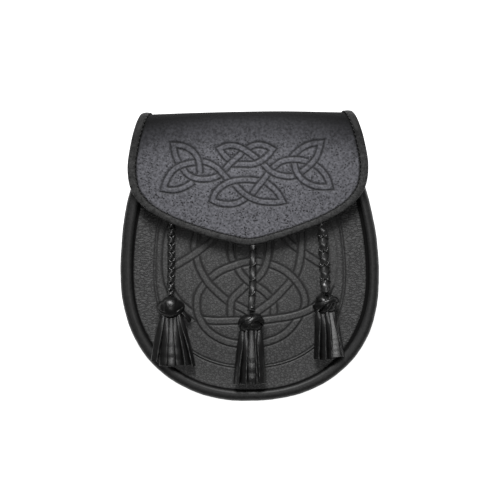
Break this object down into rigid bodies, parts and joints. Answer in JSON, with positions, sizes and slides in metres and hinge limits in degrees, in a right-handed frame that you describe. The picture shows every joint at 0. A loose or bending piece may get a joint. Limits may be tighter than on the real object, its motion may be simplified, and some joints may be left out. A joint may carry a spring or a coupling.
{
  "type": "sporran pouch",
  "caption": "Black leather day sporran: flat rounded pouch with a folded-over flap, rolled edges, belt loops at the back and tassels on braided thongs.",
  "frame": {"origin": "centre of the footprint on the surface that the pouch lies on, with its back down", "axes": "+Z out of the front, +Y to the folded top edge, +X to the right of someone facing the front"},
  "size_m": [0.18, 0.2004, 0.0406],
  "materials": {
    "grain_leather": "pebbled black cowhide, satin",
    "flap_leather": "smooth black leather with fine hair pores, satin",
    "edge_leather": "thin black binding leather, semi-gloss",
    "gusset_leather": "black leather, satin",
    "thong_leather": "polished black lacing",
    "tassel_leather": "polished black leather strips",
    "stud_metal": "nickel-plated snap stud"
  },
  "bodies": {
    "root": {"front_panel": "grain_leather", "front_piping": "edge_leather", "gusset": "gusset_leather", "back_and_flap": "flap_leather", "edge_binding": "edge_leather", "closure_stud": "stud_metal", "belt_loop_left": "flap_leather", "belt_loop_right": "flap_leather", "thong_left": "thong_leather", "tassel_left": "tassel_leather", "thong_centre": "thong_leather", "tassel_centre": "tassel_leather", "thong_right": "thong_leather", "tassel_right": "tassel_leather"}
  },
  "joints": []
}
